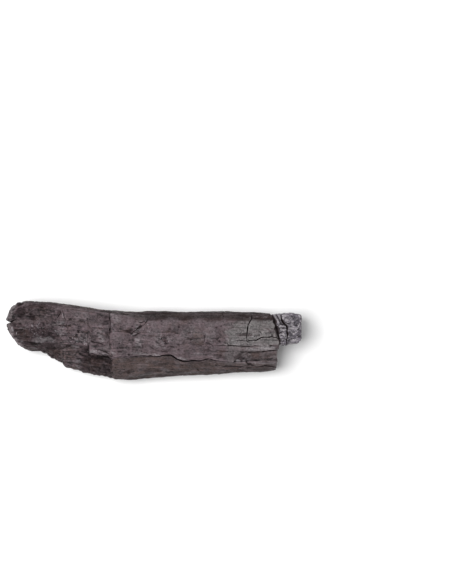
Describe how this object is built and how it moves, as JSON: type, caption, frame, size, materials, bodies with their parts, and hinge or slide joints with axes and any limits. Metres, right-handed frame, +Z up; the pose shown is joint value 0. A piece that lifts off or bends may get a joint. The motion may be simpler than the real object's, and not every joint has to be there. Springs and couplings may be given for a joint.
{
  "type": "charcoal lump",
  "caption": "Long lump of hardwood charcoal: a burnt split log with checked ends, a deep split along the grain and a broken heartwood stub.",
  "frame": {"origin": "centre of the bounding box's underside, on the surface that the lump lies on", "axes": "+X along the grain towards the broken heartwood stub, +Y towards the far side with the steep edge, +Z up"},
  "size_m": [0.2354, 0.063, 0.0388],
  "materials": {
    "charcoal": "matte charred grain, silvery on fresh breaks"
  },
  "bodies": {
    "root": {"charcoal_lump": "charcoal"}
  },
  "joints": []
}
